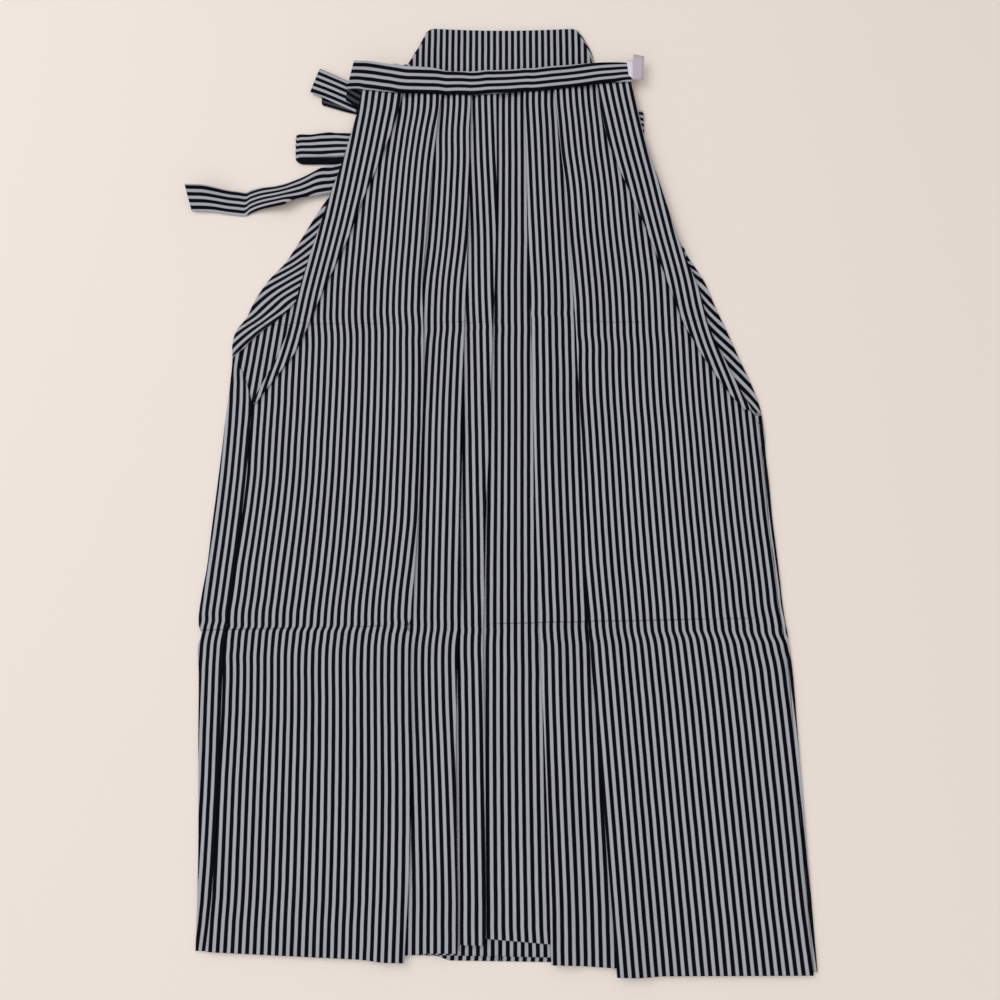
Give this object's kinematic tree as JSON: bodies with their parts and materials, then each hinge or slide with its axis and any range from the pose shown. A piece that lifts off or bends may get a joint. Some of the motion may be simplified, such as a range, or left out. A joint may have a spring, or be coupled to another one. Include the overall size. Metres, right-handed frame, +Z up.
{
  "type": "hakama trousers, laid out flat",
  "caption": "Pleated hakama trousers of striped cloth, laid flat with the front up, with waistband, stiff back board and ties.",
  "frame": {"origin": "middle of the garment's footprint, on the surface that it lies on", "axes": "+Z up from the surface, +Y from the hem to the waist, +X to the right as seen from the front"},
  "size_m": [0.6038, 0.9606, 0.0249],
  "materials": {
    "striped_cloth": "navy and silver grey stripes, faint satin sheen",
    "tie_cloth": "navy and silver grey stripes, faint satin sheen",
    "label_cloth": "matt white"
  },
  "bodies": {
    "root": {"back_left_leg": "striped_cloth", "back_right_leg": "striped_cloth", "front_left_leg": "striped_cloth", "front_right_leg": "striped_cloth", "front_left_side_pleat": "striped_cloth", "front_right_side_pleat": "striped_cloth", "back_board": "striped_cloth", "front_band": "tie_cloth", "front_tie_under_run": "tie_cloth", "front_tie_upper_run": "tie_cloth", "front_tie_turned_end": "tie_cloth", "back_tie_loose_end": "tie_cloth", "back_tie_left_loop": "tie_cloth", "back_tie_right_loop": "tie_cloth", "back_tie_left_root": "tie_cloth", "back_tie_right_root": "tie_cloth", "folded_ties": "tie_cloth", "care_label": "label_cloth"}
  },
  "joints": []
}
